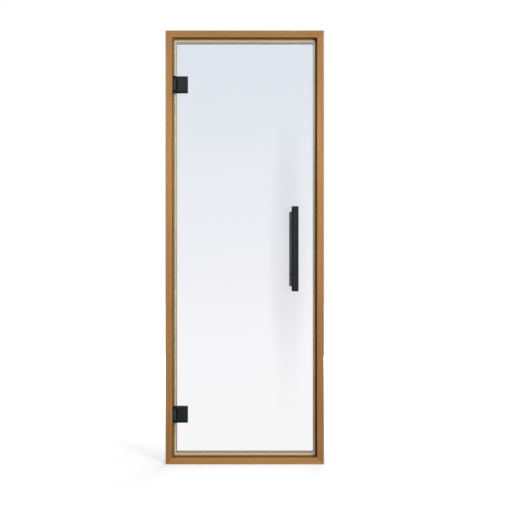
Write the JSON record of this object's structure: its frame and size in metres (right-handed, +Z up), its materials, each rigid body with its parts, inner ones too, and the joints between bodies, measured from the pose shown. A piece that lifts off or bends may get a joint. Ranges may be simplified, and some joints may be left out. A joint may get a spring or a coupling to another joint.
{
  "type": "framed glass sauna door",
  "caption": "Narrow sauna door: mitred timber frame with a clear glass leaf on black clamp hinges that opens outwards, and a black bar handle on each side.",
  "frame": {"origin": "centre of the underside of the sill, at half the frame's depth", "axes": "+X to the right as seen from outside, +Y into the hot room, +Z up"},
  "size_m": [0.69, 0.133, 1.89],
  "materials": {
    "timber": "matt",
    "clear_glass": "gloss",
    "black_metal": "satin",
    "pin_steel": "satin",
    "silicone": "matt",
    "gasket_rubber": "matt",
    "catch_plastic": "matt"
  },
  "bodies": {
    "frame": {"hinge_jamb": "timber", "latch_jamb": "timber", "head_rail": "timber", "sill_rail": "timber", "hinge_side_seal": "silicone", "latch_side_seal": "silicone", "head_seal": "silicone", "sill_seal": "silicone", "top_hinge_bracket": "black_metal", "bottom_hinge_bracket": "black_metal", "top_hinge_pin": "pin_steel", "bottom_hinge_pin": "pin_steel", "latch_catch": "catch_plastic"},
    "leaf": {"glass_pane": "clear_glass", "top_hinge_front_plate": "black_metal", "bottom_hinge_front_plate": "black_metal", "top_hinge_back_plate": "black_metal", "bottom_hinge_back_plate": "black_metal", "top_hinge_front_gasket": "gasket_rubber", "top_hinge_back_gasket": "gasket_rubber", "bottom_hinge_front_gasket": "gasket_rubber", "bottom_hinge_back_gasket": "gasket_rubber", "outer_handle_bar": "black_metal", "inner_handle_bar": "black_metal", "upper_outer_standoff": "black_metal", "lower_outer_standoff": "black_metal", "upper_inner_standoff": "black_metal", "lower_inner_standoff": "black_metal", "upper_outer_washer": "gasket_rubber", "upper_inner_washer": "gasket_rubber", "lower_outer_washer": "gasket_rubber", "lower_inner_washer": "gasket_rubber"}
  },
  "joints": [
    {"name": "leaf_swing", "type": "hinge", "parent": "frame", "child": "leaf", "pos_m": [-0.306, -0.036, 0.936], "axis": [0, 0, -1], "range_deg": [0, 110]}
  ]
}
